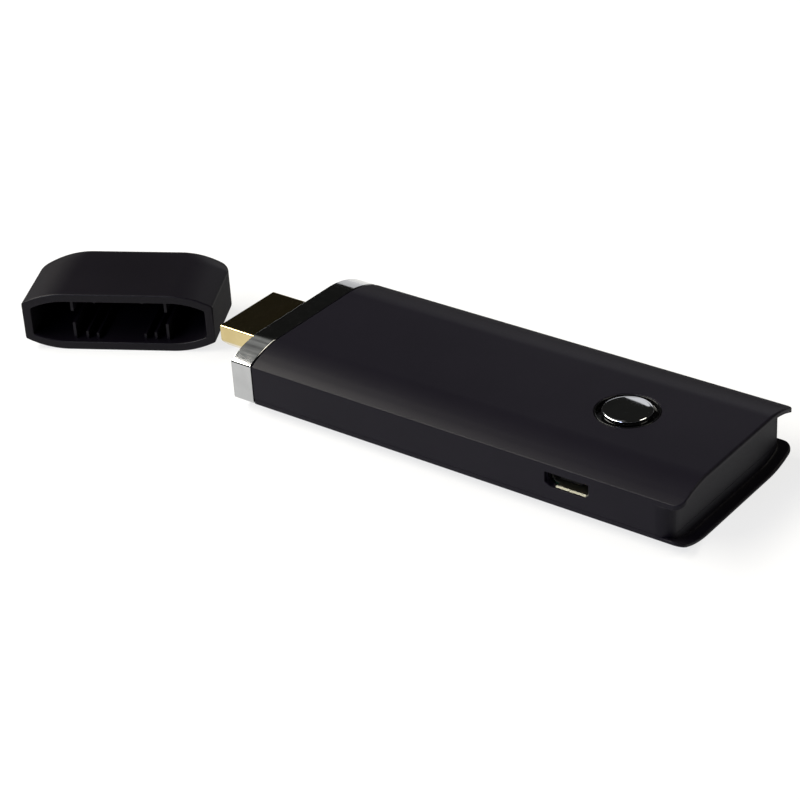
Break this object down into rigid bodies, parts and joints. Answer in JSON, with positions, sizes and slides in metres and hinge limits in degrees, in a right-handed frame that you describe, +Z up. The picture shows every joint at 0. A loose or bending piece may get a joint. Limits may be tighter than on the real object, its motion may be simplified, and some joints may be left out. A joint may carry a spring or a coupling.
{
  "type": "wireless display dongle",
  "caption": "Flat stick that plugs into a screen's video socket and shows pictures sent by radio, with a push button, a power socket on one side and a push-on plug cap laid beside it.",
  "frame": {"origin": "the middle of the flat strip along the underside of the stick, on the surface that it lies on", "axes": "+X along the stick, away from its video plug; +Z up, out of the face with the button; the power socket opens towards -Y"},
  "size_m": [0.1321, 0.0359, 0.0109],
  "materials": {
    "case_black": "black plastic with a smooth satin coat",
    "cap_black": "black plastic, satin",
    "collar_chrome": "bright plating",
    "plate_black": "black plastic",
    "plug_gold": "thin pale gold plating, bright",
    "insulator_black": "black moulded plastic",
    "contact_gold": "gold plating",
    "bezel_gloss": "black, polished",
    "button_chrome": "bright plating",
    "sheet_steel": "tinned sheet",
    "stem_brown": "moulded plastic",
    "socket_metal": "plated sheet, bright",
    "board_green": "glass-fibre board with green lacquer",
    "board_blue": "glass-fibre board with blue lacquer",
    "chip_black": "moulded epoxy",
    "pad_grey": "soft silicone pad",
    "spreader_aluminium": "mill finish",
    "ferrite_grey": "sintered ferrite",
    "tantalum_yellow": "moulded epoxy",
    "ceramic_tan": "fired ceramic"
  },
  "bodies": {
    "dongle": {"top_case": "case_black", "bottom_cover": "case_black", "nose_collar": "collar_chrome", "nose_plate": "plate_black", "plug_shell": "plug_gold", "plug_insulator": "insulator_black", "plug_contacts": "contact_gold", "button_bezel": "bezel_gloss", "switch_base": "insulator_black", "switch_cover": "sheet_steel", "switch_dome": "sheet_steel", "socket_shell": "socket_metal", "socket_insulator": "insulator_black", "socket_contacts": "contact_gold", "main_board": "board_green", "processor": "chip_black", "thermal_pad": "pad_grey", "heat_spreader": "spreader_aluminium", "memory_chips": "chip_black", "flash_chip": "chip_black", "power_chip": "chip_black", "power_inductors": "ferrite_grey", "tantalum_capacitors": "tantalum_yellow", "ceramic_capacitors": "ceramic_tan", "resistors": "chip_black", "line_chokes": "ferrite_grey", "surge_arrays": "chip_black", "clock_crystal": "sheet_steel", "wifi_board": "board_blue", "wifi_chip": "chip_black", "wifi_shield": "sheet_steel", "antenna": "sheet_steel"},
    "button": {"button_cap": "button_chrome", "switch_stem": "stem_brown"},
    "cap": {"plug_cap": "cap_black"}
  },
  "joints": [
    {"name": "button_press", "type": "slide", "parent": "dongle", "child": "button", "axis": [0, 0, -1], "range_m": [0, 0.0003], "stiffness_N_per_m": 1200, "deforming": ["switch_dome"]},
    {"name": "cap_turn", "type": "hinge", "parent": "dongle", "child": "cap", "pos_m": [-0.07372, 0.00446, 0], "axis": [0, 0, 1], "range_deg": [0, 61.5]}
  ]
}
